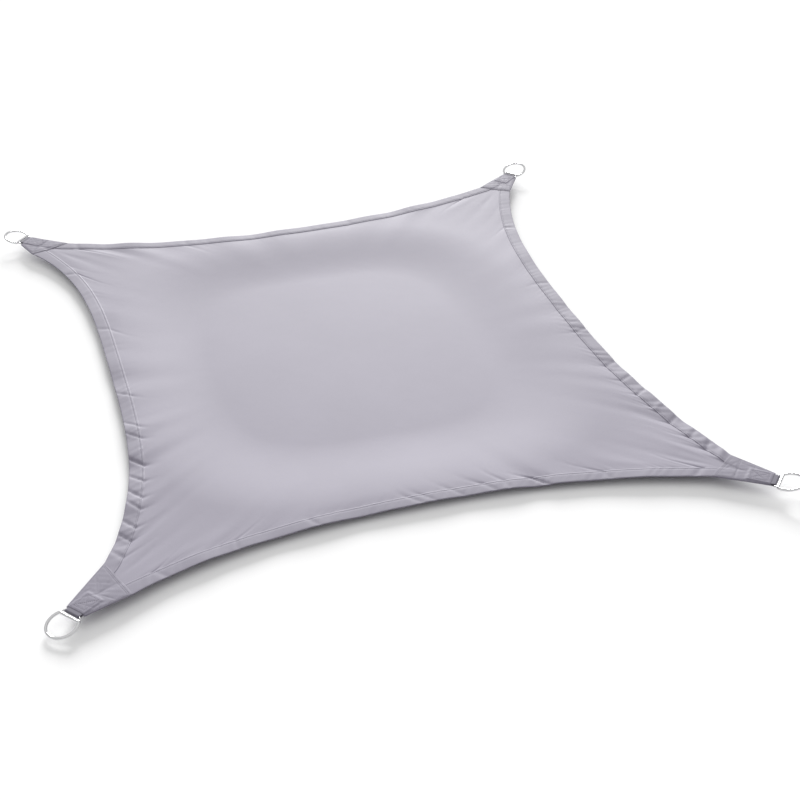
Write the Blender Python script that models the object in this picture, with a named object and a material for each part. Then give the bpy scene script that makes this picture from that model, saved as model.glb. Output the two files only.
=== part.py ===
"""Rectangular shade sail: one cloth panel with a wide hem and four hollow-cut sides, and at each corner a
cloth patch, a webbing loop and a slotted D-ring. It lies on a level surface at z = 0 with the whole middle
flat, its edges a little raised and its corners a little higher. Metres, +Z up, +Y from the near side to
the back, origin under the middle of its box."""

import math
from collections import namedtuple

import bmesh
import bpy
import numpy as np
from mathutils import Matrix, Vector

# Sail, measured between the middles of the ring bars
SPAN_X = 1.830
SPAN_Y = 2.135

# Cloth
CLOTH = 0.0015             # panel
HEM_CLOTH = 0.0030         # turned and stitched hem
HEM_WIDTH = 0.040
HEM_STEP = 0.004           # run over which the hem thins to the panel
PATCH_CLOTH = 0.0012
WEB_CLOTH = 0.0015
GAP = 0.0003               # between pieces that touch

# How it lies: heights of the underside
EDGE_LIFT = 0.0195         # along the hem
CORNER_LIFT = 0.0090       # added at the rings
CORNER_REACH = 0.50        # how far from a ring the corner lift is felt
LEVEL_X = 0.700            # half sizes of the rounded rectangle in which shares of the way out are measured
LEVEL_Y = 0.850
LEVEL_POWER = 3.5          # its squareness
FLAT_SHARE = 0.58          # the cloth lies flat out to here
HEM_SHARE = 0.97           # and reaches its full edge lift here

# Corner, measured along its axis inward from the ring bar, and across it
SLOT_PITCH = 0.011         # ring bar to the rail that holds the webbing
TIP_ALONG = 0.020          # where the panel's tongue ends
BAR_HALF = 0.025           # half width of the tongue if it reached the bar
MEET_ALONG = 0.085         # where the two hems meet
SEAM_TURN = 0.16           # run over which a hem's seam bends to that meeting

# Webbing loop
WEB_HALF = 0.023
WEB_END = 0.083            # inner end of its two legs
WEB_ALONGS = (WEB_END, 0.060, 0.040, 0.022)   # where the legs follow the tongue, the last beside the ring

# Patch, which rides up over the webbing leg beneath it
PATCH_INSET = 0.001        # from the outline to its edge
PATCH_PAST = 0.002         # how far it stays up past the leg's end
PATCH_BESIDE = 0.0015      # and beside the leg
PATCH_RAMP = 0.011         # leg's side to where the patch is down again
PATCH_ALONGS = (0.022, 0.043, 0.064, WEB_END + PATCH_PAST, 0.093)
FLANK_SHARES = (0.0, 0.45, 1.0)               # stops from the patch's edge to the side of the leg
SEAM_STOPS = 7             # points along its straight inner seam

# Ring
RING_RADIUS = 0.040        # centre line of the bow
RING_WIRE = 0.0040         # radius of the wire
RAIL_WIRE = 0.0025         # radius of the rail's wire
RING_OFFSET = 0.024        # centre of the bow to the bar
RING_FILLET = 0.007
RAIL_HALF = 0.0275
RAIL_BEND = 0.004          # rounding of its two corners

# Mesh fineness
SIDE_POINTS = 40
SIDE_SAMPLES = 200
TONGUE_STATIONS = 4
BOW_STEPS = 24
FILLET_STEPS = 3
WIRE_SIDES = 8
FOLD_STEPS = 8

# A side runs anticlockwise between two patch ends and bows inward: how deep, how far along its deepest
# point lies, and how full the curve is (2 is a parabola, more is fuller near the ends).
Side = namedtuple("Side", "name bow deepest fullness")
SIDES = (
    Side("near", 0.139, 0.477, 2.40),
    Side("right", 0.112, 0.540, 2.70),
    Side("back", 0.117, 0.507, 2.18),
    Side("left", 0.145, 0.472, 3.40),
)

# A corner's axis turns from the 45 degree line. The patch ends on the side that starts here (next) and on
# the side that ends here (last), each given along and across the axis. The ring tilts about its rail,
# up where positive.
Corner = namedtuple("Corner", "name x y turn next_along next_across last_along last_across tilt")
CORNERS = (
    Corner("near_left", -1, -1, -6, 0.143, 0.066, 0.189, 0.078, -14),
    Corner("near_right", 1, -1, 4, 0.151, 0.073, 0.170, 0.044, 10),
    Corner("back_right", 1, 1, -3, 0.161, 0.044, 0.138, 0.070, 17),
    Corner("back_left", -1, 1, 6, 0.101, 0.083, 0.165, 0.037, 12),
)

# Main folds across the hem: side, share of the way along it, height (trough where negative), half length
Fold = namedtuple("Fold", "side at height half")
FOLDS = (
    Fold("near", 0.16, 0.0030, 0.07),
    Fold("near", 0.41, -0.0025, 0.08),
    Fold("near", 0.68, -0.0035, 0.06),
    Fold("near", 0.86, 0.0030, 0.08),
    Fold("right", 0.07, 0.0045, 0.06),
    Fold("right", 0.14, -0.0040, 0.06),
    Fold("right", 0.22, 0.0040, 0.07),
    Fold("right", 0.31, -0.0030, 0.08),
    Fold("right", 0.47, 0.0025, 0.09),
    Fold("right", 0.74, 0.0020, 0.10),
    Fold("back", 0.22, 0.0025, 0.10),
    Fold("back", 0.58, -0.0020, 0.12),
    Fold("back", 0.83, 0.0025, 0.09),
    Fold("left", 0.24, 0.0020, 0.10),
    Fold("left", 0.50, -0.0025, 0.08),
    Fold("left", 0.64, 0.0040, 0.06),
    Fold("left", 0.73, -0.0045, 0.06),
    Fold("left", 0.82, 0.0045, 0.06),
    Fold("left", 0.90, -0.0035, 0.05),
)

HEM_WAVES = ((0.0008, 0.17), (0.0007, 0.26))   # height and length of the hem's regular unevenness
PATCH_REACH = 0.120        # the hem lies even this far from where two hems meet
FOLD_EASE = 0.080          # and comes to its full unevenness over this run
SEAM_FOLD = 0.7            # shares of the outline's unevenness that reach the hem's seam
STEP_FOLD = 0.6            # and the panel beside it

# Loops inside the hem, as shares of the way from its seam to the flat middle
PANEL_STEPS = (0.22, 0.45, 0.72, 1.0)

CLOTH_COLOUR = (0.262, 0.246, 0.301, 1.0)
PATCH_COLOUR = (0.230, 0.216, 0.266, 1.0)
WEB_COLOUR = (0.205, 0.194, 0.240, 1.0)
STEEL_COLOUR = (0.700, 0.700, 0.710, 1.0)


def smooth(value):
    """Ease from 0 to 1."""
    value = min(max(value, 0.0), 1.0)
    return value * value * (3.0 - 2.0 * value)


def material(name, colour, roughness, metallic):
    """Plain Principled material."""
    made = bpy.data.materials.new(name)
    made.use_nodes = True
    shader = made.node_tree.nodes["Principled BSDF"]
    shader.inputs["Base Color"].default_value = colour
    shader.inputs["Roughness"].default_value = roughness
    shader.inputs["Metallic"].default_value = metallic
    return made


def rotated(vector, degrees):
    """Turn a plan vector anticlockwise."""
    angle = math.radians(degrees)
    cos_a = math.cos(angle)
    sin_a = math.sin(angle)
    return np.array((cos_a * vector[0] - sin_a * vector[1], sin_a * vector[0] + cos_a * vector[1]))


def bar_point(corner):
    """Middle of a corner's ring bar, in plan."""
    return np.array((corner.x * SPAN_X / 2, corner.y * SPAN_Y / 2))


def corner_axes(corner):
    """Unit vectors inward along a corner's axis, and across it towards its next side."""
    inward = rotated(np.array((-corner.x, -corner.y)) * math.sqrt(0.5), corner.turn)
    across = np.array((inward[1], -inward[0]))
    return inward, across


def corner_point(corner, along, across):
    """Plan point given in a corner's own axes."""
    inward, sideways = corner_axes(corner)
    return bar_point(corner) + inward * along + sideways * across


def edge_across(corner, along, which):
    """Half width of the tongue at a distance from the bar: positive on the next side."""
    if which == "next":
        return BAR_HALF + (corner.next_across - BAR_HALF) * along / corner.next_along
    return -(BAR_HALF + (corner.last_across - BAR_HALF) * along / corner.last_along)


def spine_point(corner, along):
    """Middle line of the tongue."""
    middle = (edge_across(corner, along, "next") + edge_across(corner, along, "last")) / 2
    return corner_point(corner, along, middle)


def side_curve(index, count):
    """Plan points of a side from where its hem meets the last one to where it meets the next one."""
    side = SIDES[index]
    first = CORNERS[index]
    last = CORNERS[(index + 1) % 4]
    start = corner_point(first, first.next_along, first.next_across)
    end = corner_point(last, last.last_along, -last.last_across)
    chord = end - start
    length = np.linalg.norm(chord)
    inward = np.array((-chord[1], chord[0])) / length
    share = np.linspace(0.0, 1.0, SIDE_SAMPLES)
    warped = share ** (math.log(0.5) / math.log(side.deepest))
    depth = side.bow * (1.0 - np.abs(2.0 * warped - 1.0) ** side.fullness)
    curve = start + np.outer(share, chord) + np.outer(depth, inward)
    head = corner_point(first, MEET_ALONG, edge_across(first, MEET_ALONG, "next"))
    tail = corner_point(last, MEET_ALONG, edge_across(last, MEET_ALONG, "last"))
    path = np.vstack((head, curve, tail))
    travelled = np.concatenate(((0.0,), np.cumsum(np.linalg.norm(np.diff(path, axis=0), axis=1))))
    wanted = np.linspace(0.0, travelled[-1], count)
    points = np.column_stack([np.interp(wanted, travelled, path[:, axis]) for axis in (0, 1)])
    return points, wanted


def hem_curve(index, points, travelled, width):
    """The same side moved inward by the hem's width, meeting its neighbours on the tongues' middle lines."""
    tangent = np.gradient(points, travelled, axis=0)
    tangent /= np.linalg.norm(tangent, axis=1)[:, None]
    inward = np.column_stack((-tangent[:, 1], tangent[:, 0]))
    offset = inward * width
    ends = ((CORNERS[index], 0, travelled), (CORNERS[(index + 1) % 4], -1, travelled[-1] - travelled))
    for corner, end, distance in ends:
        meet = spine_point(corner, MEET_ALONG) - points[end]
        share = np.array([1.0 - smooth(value / SEAM_TURN) for value in distance])[:, None]
        offset = offset * (1.0 - share) + meet * share
    return points + offset


def fold_height(side, share, length):
    """Rise of the hem at a share of the way along a side."""
    clear = min(share, 1.0 - share) * length - PATCH_REACH
    rise = 0.0
    for height, wave in HEM_WAVES:
        rise += height * math.sin(2 * math.pi * share * length / wave)
    for fold in FOLDS:
        if fold.side == side.name:
            rise += fold.height * (1.0 - smooth(abs(share - fold.at) * length / fold.half))
    return rise * smooth(clear / FOLD_EASE)


def way_out(point):
    """Share of the way out from the middle, on rounded rectangles."""
    power = LEVEL_POWER
    return ((abs(point[0]) / LEVEL_X) ** power + (abs(point[1]) / LEVEL_Y) ** power) ** (1.0 / power)


def underside(point):
    """Height of the underside at a plan point."""
    edge = smooth((way_out(point) - FLAT_SHARE) / (HEM_SHARE - FLAT_SHARE))
    nearest = min(np.linalg.norm(point - bar_point(corner)) for corner in CORNERS)
    return EDGE_LIFT * edge + CORNER_LIFT * edge * smooth(1.0 - nearest / CORNER_REACH)


class Solid:
    """A mesh made of welded points, which skips faces that welding has closed up."""

    def __init__(self):
        self.mesh = bmesh.new()
        self.known = {}

    def point(self, x, y, z):
        key = (round(x, 6), round(y, 6), round(z, 6))
        if key not in self.known:
            self.known[key] = self.mesh.verts.new((x, y, z))
        return self.known[key]

    def face(self, corners):
        ring = []
        for corner in corners:
            if corner not in ring:
                ring.append(corner)
        if len(ring) > 2:
            self.mesh.faces.new(ring)

    def strip(self, first, second, closed):
        count = len(first) if closed else len(first) - 1
        for step in range(count):
            after = (step + 1) % len(first)
            self.face((first[step], first[after], second[after], second[step]))

    def finish(self, name, surface, parent):
        bmesh.ops.recalc_face_normals(self.mesh, faces=self.mesh.faces)
        if self.mesh.calc_volume(signed=True) < 0:
            bmesh.ops.reverse_faces(self.mesh, faces=self.mesh.faces)
        data = bpy.data.meshes.new(name)
        self.mesh.to_mesh(data)
        self.mesh.free()
        made = bpy.data.objects.new(name, data)
        data.materials.append(surface)
        bpy.context.scene.collection.objects.link(made)
        made.parent = parent
        return made


def panel_rows():
    """Closed rows of plan points from the outline inward, each point with its thickness and its fold height.
    The three rows of the hem hold the tongues too, folded on to their middle lines. The last row is the
    panel's own border, without them."""
    rows = {"edge": [], "seam": [], "step": []}
    panel = []
    alongs = np.linspace(TIP_ALONG, MEET_ALONG, TONGUE_STATIONS + 1)
    for index, side in enumerate(SIDES):
        first = CORNERS[index]
        last = CORNERS[(index + 1) % 4]
        points, travelled = side_curve(index, SIDE_POINTS)
        seam = hem_curve(index, points, travelled, HEM_WIDTH)
        step = hem_curve(index, points, travelled, HEM_WIDTH + HEM_STEP)
        shares = travelled / travelled[-1]
        folds = [fold_height(side, share, travelled[-1]) for share in shares]
        for along in alongs[:-1]:
            outer = corner_point(first, along, edge_across(first, along, "next"))
            rows["edge"].append((outer, HEM_CLOTH, 0.0))
            for name in ("seam", "step"):
                rows[name].append((spine_point(first, along), HEM_CLOTH, 0.0))
        for place, rise in enumerate(folds):
            thick = HEM_CLOTH if place in (0, len(folds) - 1) else CLOTH
            rows["edge"].append((points[place], HEM_CLOTH, rise))
            rows["seam"].append((seam[place], HEM_CLOTH, rise * SEAM_FOLD))
            rows["step"].append((step[place], thick, rise * STEP_FOLD))
            if place < len(folds) - 1:
                panel.append((step[place], thick, rise * STEP_FOLD))
        for along in alongs[-2::-1]:
            outer = corner_point(last, along, edge_across(last, along, "last"))
            rows["edge"].append((outer, HEM_CLOTH, 0.0))
            for name in ("seam", "step"):
                rows[name].append((spine_point(last, along), HEM_CLOTH, 0.0))
    return rows, panel


def surface_points(solid, row, top):
    """Points of a row on the top or the underside of the panel."""
    found = []
    for point, thick, rise in row:
        height = underside(point) + rise + (thick if top else 0.0)
        found.append(solid.point(point[0], point[1], height))
    return found


def make_panel(surface, parent):
    """The panel and its hem, one closed sheet."""
    rows, inner = panel_rows()
    solid = Solid()
    edges = []
    for top in (True, False):
        edge = surface_points(solid, rows["edge"], top)
        seam = surface_points(solid, rows["seam"], top)
        step = surface_points(solid, rows["step"], top)
        solid.strip(edge, seam, True)
        solid.strip(seam, step, True)
        edges.append(edge)
        outer = surface_points(solid, inner, top)
        for share in PANEL_STEPS:
            row = []
            for point, _, rise in inner:
                scale = 1.0 - share * (1.0 - FLAT_SHARE / way_out(point))
                row.append((point * scale, CLOTH, rise * (1.0 - share) ** 3))
            points = surface_points(solid, row, top)
            solid.strip(outer, points, True)
            outer = points
        solid.mesh.faces.new(outer)
    solid.strip(edges[0], edges[1], True)
    bmesh.ops.triangulate(solid.mesh, faces=solid.mesh.faces)
    return solid.finish("sail_panel", surface, parent)


def web_cover(along, across):
    """How far the patch rides up over the webbing leg at a place on the corner."""
    if along > WEB_END + PATCH_PAST:
        return 0.0
    beside = abs(across) - WEB_HALF
    if beside <= PATCH_BESIDE:
        return 1.0
    return max(0.0, 1.0 - beside / PATCH_RAMP)


def patch_plan(corner):
    """Rows of places along and across the corner's axis: straight across it where the patch covers the
    webbing, and last its slanting inner seam."""
    kept = WEB_HALF + PATCH_BESIDE
    rows = []
    for along in PATCH_ALONGS:
        low = edge_across(corner, along, "last") + PATCH_INSET
        high = edge_across(corner, along, "next") - PATCH_INSET
        left = [low + (-kept - low) * share for share in FLANK_SHARES]
        right = [kept + (high - kept) * (1.0 - share) for share in reversed(FLANK_SHARES)]
        rows.append([(along, across) for across in left + [0.0] + right])
    start = np.array((corner.last_along, PATCH_INSET - corner.last_across))
    end = np.array((corner.next_along, corner.next_across - PATCH_INSET))
    rows.append([start + (end - start) * share for share in np.linspace(0.0, 1.0, SEAM_STOPS)])
    return rows


def make_patch(corner, surface, parent):
    """Cloth patch over the corner, from the webbing's fold to a straight seam between its two ends."""
    grid = []
    for places in patch_plan(corner):
        row = []
        for along, across in places:
            plan = corner_point(corner, along, across)
            base = underside(plan) + HEM_CLOTH + GAP
            row.append((plan, base + web_cover(along, across) * (WEB_CLOTH + GAP)))
        grid.append(row)
    solid = Solid()
    borders = []
    for lift in (PATCH_CLOTH, 0.0):
        rows = [[solid.point(plan[0], plan[1], height + lift) for plan, height in row] for row in grid]
        for row, after in zip(rows, rows[1:]):
            solid.strip(row, after, False)
        left = [row[0] for row in rows]
        right = [row[-1] for row in rows]
        borders.append(rows[0] + right[1:] + rows[-1][-2::-1] + left[-2:0:-1])
    solid.strip(borders[0], borders[1], True)
    return solid.finish("corner_patch_" + corner.name, surface, parent)


def rail_height(corner):
    """Height of the rail's centre, the middle of the tongue that the webbing holds."""
    return underside(bar_point(corner)) + HEM_CLOTH / 2


def make_web(corner, surface, parent):
    """Webbing round the ring's rail, with one leg under the tongue and one on it."""
    half_stack = HEM_CLOTH / 2 + GAP
    turn = RAIL_WIRE + GAP
    rail = rail_height(corner)
    lines = []
    for extra in (0.0, WEB_CLOTH):
        legs = []
        for along in WEB_ALONGS:
            middle = underside(spine_point(corner, along)) + HEM_CLOTH / 2
            legs.append((along, middle + half_stack + extra, middle - half_stack - extra))
        line = [(along, high) for along, high, low in legs]
        radius = turn + extra
        for step in range(FOLD_STEPS + 1):
            angle = math.pi / 2 + math.pi * step / FOLD_STEPS
            line.append((SLOT_PITCH + radius * math.cos(angle), rail + radius * math.sin(angle)))
        line += [(along, low) for along, high, low in reversed(legs)]
        lines.append(line)
    solid = Solid()
    walls = []
    for across in (-WEB_HALF, WEB_HALF):
        inner, outer = [
            [solid.point(*corner_point(corner, along, across), height) for along, height in line]
            for line in lines
        ]
        solid.strip(inner, outer, False)
        walls.append(inner + outer[::-1])
    solid.strip(walls[0], walls[1], True)
    return solid.finish("corner_loop_" + corner.name, surface, parent)


def swept_tube(path, radius, closed):
    """Tube of round section along a flat path in the ring's own XY plane."""
    mesh = bmesh.new()
    rings = []
    count = len(path)
    for step, here in enumerate(path):
        before = path[step - 1] if closed or step else path[step]
        after = path[(step + 1) % count] if closed or step < count - 1 else path[step]
        tangent = (after - before).normalized()
        normal = Vector((-tangent.y, tangent.x, 0.0))
        ring = []
        for side in range(WIRE_SIDES):
            angle = 2 * math.pi * (side + 0.5) / WIRE_SIDES
            spot = here + normal * (radius * math.cos(angle))
            spot.z += radius * math.sin(angle)
            ring.append(mesh.verts.new(spot))
        rings.append(ring)
    for step in range(count if closed else count - 1):
        first = rings[step]
        second = rings[(step + 1) % count]
        for side in range(WIRE_SIDES):
            after = (side + 1) % WIRE_SIDES
            mesh.faces.new((first[side], first[after], second[after], second[side]))
    if not closed:
        mesh.faces.new(rings[0])
        mesh.faces.new(rings[-1])
    bmesh.ops.recalc_face_normals(mesh, faces=mesh.faces)
    return mesh


def bow_path():
    """Centre line of the D: bar at x = SLOT_PITCH from the rail, bow beyond it, rounded where they meet."""
    centre = Vector((SLOT_PITCH + RING_OFFSET, 0.0, 0.0))
    # Each fillet touches the bar and the bow from inside.
    fillet_x = SLOT_PITCH + RING_FILLET
    reach = RING_RADIUS - RING_FILLET
    fillet_y = math.sqrt(reach * reach - (centre.x - fillet_x) ** 2)
    start = math.atan2(fillet_y, fillet_x - centre.x)
    path = []
    for step in range(BOW_STEPS + 1):
        angle = start - 2 * start * step / BOW_STEPS
        path.append(centre + RING_RADIUS * Vector((math.cos(angle), math.sin(angle), 0.0)))
    for sign in (-1, 1):
        middle = Vector((fillet_x, sign * fillet_y, 0.0))
        turns = range(1, FILLET_STEPS + 1) if sign < 0 else range(FILLET_STEPS)
        for step in turns:
            share = step / FILLET_STEPS
            angle = start + (math.pi - start) * (share if sign < 0 else 1.0 - share)
            path.append(middle + RING_FILLET * Vector((math.cos(angle), sign * math.sin(angle), 0.0)))
    return path


def rail_path():
    """Centre line of the rail, at x = 0, and of the two short arms that join it to the bar."""
    rounded = RAIL_BEND * (1.0 - math.sqrt(0.5))
    path = [
        Vector((SLOT_PITCH, RAIL_HALF, 0.0)),
        Vector((RAIL_BEND, RAIL_HALF, 0.0)),
        Vector((rounded, RAIL_HALF - rounded, 0.0)),
        Vector((0.0, RAIL_HALF - RAIL_BEND, 0.0)),
    ]
    return path + [Vector((point.x, -point.y, 0.0)) for point in reversed(path)]


def make_ring(corner, surface, parent):
    """D-ring with its rail joined on, turned to its corner and tilted about the rail."""
    parts = []
    for name, path, radius, closed in (
        ("ring_" + corner.name, bow_path(), RING_WIRE, True),
        ("ring_rail_" + corner.name, rail_path(), RAIL_WIRE, False),
    ):
        mesh = swept_tube(path, radius, closed)
        data = bpy.data.meshes.new(name)
        mesh.to_mesh(data)
        mesh.free()
        data.materials.append(surface)
        made = bpy.data.objects.new(name, data)
        bpy.context.scene.collection.objects.link(made)
        made.parent = parent
        parts.append(made)
    inward, across = corner_axes(corner)
    rail = bar_point(corner) + inward * SLOT_PITCH
    outward = math.atan2(-inward[1], -inward[0])
    place = Matrix.Translation((rail[0], rail[1], rail_height(corner)))
    place = place @ Matrix.Rotation(outward, 4, "Z") @ Matrix.Rotation(-math.radians(corner.tilt), 4, "Y")
    ring, arms = parts
    for made in parts:
        made.matrix_basis = place
    arms.hide_render = True
    arms.display_type = "WIRE"
    join = ring.modifiers.new("rail", "BOOLEAN")
    join.operation = "UNION"
    join.solver = "EXACT"
    join.object = arms
    ring.data.shade_smooth()
    return ring


def centre_on_origin(pieces, parent):
    """Move the whole sail so that the middle of its box stands over the origin."""
    bpy.context.view_layer.update()
    graph = bpy.context.evaluated_depsgraph_get()
    spots = []
    for piece in pieces:
        seen = piece.evaluated_get(graph)
        shape = seen.to_mesh()
        spots += [seen.matrix_world @ vertex.co for vertex in shape.vertices]
        seen.to_mesh_clear()
    for axis in (0, 1):
        values = [spot[axis] for spot in spots]
        parent.location[axis] = -(min(values) + max(values)) / 2


def main():
    for existing in list(bpy.data.objects):
        bpy.data.objects.remove(existing, do_unlink=True)
    sail = bpy.data.objects.new("sail", None)
    bpy.context.scene.collection.objects.link(sail)
    pieces = [make_panel(material("sail_cloth", CLOTH_COLOUR, 0.75, 0.0), sail)]
    patch_surface = material("patch_cloth", PATCH_COLOUR, 0.75, 0.0)
    web_surface = material("webbing", WEB_COLOUR, 0.80, 0.0)
    steel = material("ring_steel", STEEL_COLOUR, 0.18, 1.0)
    for corner in CORNERS:
        pieces.append(make_patch(corner, patch_surface, sail))
        pieces.append(make_web(corner, web_surface, sail))
        pieces.append(make_ring(corner, steel, sail))
    centre_on_origin(pieces, sail)


main()
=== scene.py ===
"""Looks of the rectangular shade sail: a woven cloth panel with a puckered, stitched hem, and at each corner
a creased cloth patch, a ribbed webbing loop and a polished D-ring. Metres, +Z up, in the CAD frame."""

import math
from collections import namedtuple

import bpy
import numpy as np
from mathutils import Matrix, Vector
from mathutils.bvhtree import BVHTree


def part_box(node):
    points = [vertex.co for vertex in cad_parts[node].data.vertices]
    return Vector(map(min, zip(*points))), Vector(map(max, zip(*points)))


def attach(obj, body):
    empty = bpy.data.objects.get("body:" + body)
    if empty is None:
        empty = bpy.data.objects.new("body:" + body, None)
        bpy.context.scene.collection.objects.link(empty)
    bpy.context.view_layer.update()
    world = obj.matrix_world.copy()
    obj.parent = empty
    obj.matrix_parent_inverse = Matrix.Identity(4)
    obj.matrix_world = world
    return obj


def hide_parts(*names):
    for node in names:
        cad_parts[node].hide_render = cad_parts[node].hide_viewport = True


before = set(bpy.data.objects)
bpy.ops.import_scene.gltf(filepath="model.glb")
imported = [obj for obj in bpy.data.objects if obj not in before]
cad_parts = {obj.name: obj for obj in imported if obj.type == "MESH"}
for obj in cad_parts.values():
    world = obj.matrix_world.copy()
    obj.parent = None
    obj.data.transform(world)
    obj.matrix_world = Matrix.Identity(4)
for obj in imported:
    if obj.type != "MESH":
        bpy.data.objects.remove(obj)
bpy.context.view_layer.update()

# ---- Sizes that follow the CAD part ----

SPAN_X = 1.830             # between the middles of the ring bars
SPAN_Y = 2.135
HEM_CLOTH = 0.0030
HEM_WIDTH = 0.040
WEB_CLOTH = 0.0015
GAP = 0.0003

EDGE_LIFT = 0.0195         # heights of the underside: along the hem,
CORNER_LIFT = 0.0090       # and added at the rings
CORNER_REACH = 0.50
LEVEL_X = 0.700            # half sizes of the rounded rectangle in which shares of the way out are measured
LEVEL_Y = 0.850
LEVEL_POWER = 3.5
FLAT_SHARE = 0.58
HEM_SHARE = 0.97

SLOT_PITCH = 0.011         # ring bar to the rail that holds the webbing
TIP_ALONG = 0.020          # where the cloth's tongue ends
BAR_HALF = 0.025
MEET_ALONG = 0.085         # where the two hems meet
SEAM_TURN = 0.16
WEB_HALF = 0.023
WEB_END = 0.083
WEB_START = 0.022          # where the legs part round the rail
PATCH_START = 0.022
PATCH_INSET = 0.001

RING_RADIUS = 0.040
RING_WIRE = 0.0040
RAIL_WIRE = 0.0025
RING_OFFSET = 0.024
RING_FILLET = 0.007
RAIL_HALF = 0.0275
RAIL_BEND = 0.004

Side = namedtuple("Side", "name bow deepest fullness")
SIDES = (
    Side("near", 0.139, 0.477, 2.40),
    Side("right", 0.112, 0.540, 2.70),
    Side("back", 0.117, 0.507, 2.18),
    Side("left", 0.145, 0.472, 3.40),
)

Corner = namedtuple("Corner", "name x y turn next_along next_across last_along last_across tilt")
CORNERS = (
    Corner("near_left", -1, -1, -6, 0.143, 0.066, 0.189, 0.078, -14),
    Corner("near_right", 1, -1, 4, 0.151, 0.073, 0.170, 0.044, 10),
    Corner("back_right", 1, 1, -3, 0.161, 0.044, 0.138, 0.070, 17),
    Corner("back_left", -1, 1, 6, 0.101, 0.083, 0.165, 0.037, 12),
)

# Main folds across the hem: side, share of the way along it, height (trough where negative), half length
Fold = namedtuple("Fold", "side at height half")
FOLDS = (
    Fold("near", 0.16, 0.0030, 0.07),
    Fold("near", 0.41, -0.0025, 0.08),
    Fold("near", 0.68, -0.0035, 0.06),
    Fold("near", 0.86, 0.0030, 0.08),
    Fold("right", 0.07, 0.0045, 0.06),
    Fold("right", 0.14, -0.0040, 0.06),
    Fold("right", 0.22, 0.0040, 0.07),
    Fold("right", 0.31, -0.0030, 0.08),
    Fold("right", 0.47, 0.0025, 0.09),
    Fold("right", 0.74, 0.0020, 0.10),
    Fold("back", 0.22, 0.0025, 0.10),
    Fold("back", 0.58, -0.0020, 0.12),
    Fold("back", 0.83, 0.0025, 0.09),
    Fold("left", 0.24, 0.0020, 0.10),
    Fold("left", 0.50, -0.0025, 0.08),
    Fold("left", 0.64, 0.0040, 0.06),
    Fold("left", 0.73, -0.0045, 0.06),
    Fold("left", 0.82, 0.0045, 0.06),
    Fold("left", 0.90, -0.0035, 0.05),
)
HEM_WAVES = ((0.0008, 0.17), (0.0007, 0.26))
PATCH_REACH = 0.120
FOLD_EASE = 0.080

# ---- Fine relief of the cloth ----

# Gathers along a stretch of hem, as little bumps between narrow valleys: their height and pitch, and how
# far they lean along the side for each step inward
Gathers = namedtuple("Gathers", "side start end height pitch lean")
GATHERS = (
    Gathers("near", 0.02, 0.99, 0.0008, 0.036, -0.6),
    Gathers("near", 0.30, 0.80, 0.0006, 0.021, -0.9),
    Gathers("right", 0.02, 0.55, 0.0013, 0.043, -0.5),
    Gathers("right", 0.40, 0.98, 0.0007, 0.031, 0.3),
    Gathers("back", 0.02, 0.98, 0.0005, 0.047, 0.2),
    Gathers("left", 0.05, 0.55, 0.0006, 0.050, 0.4),
    Gathers("left", 0.48, 0.97, 0.0013, 0.044, 0.8),
    Gathers("left", 0.50, 0.95, 0.0006, 0.023, 0.6),
)

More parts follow.
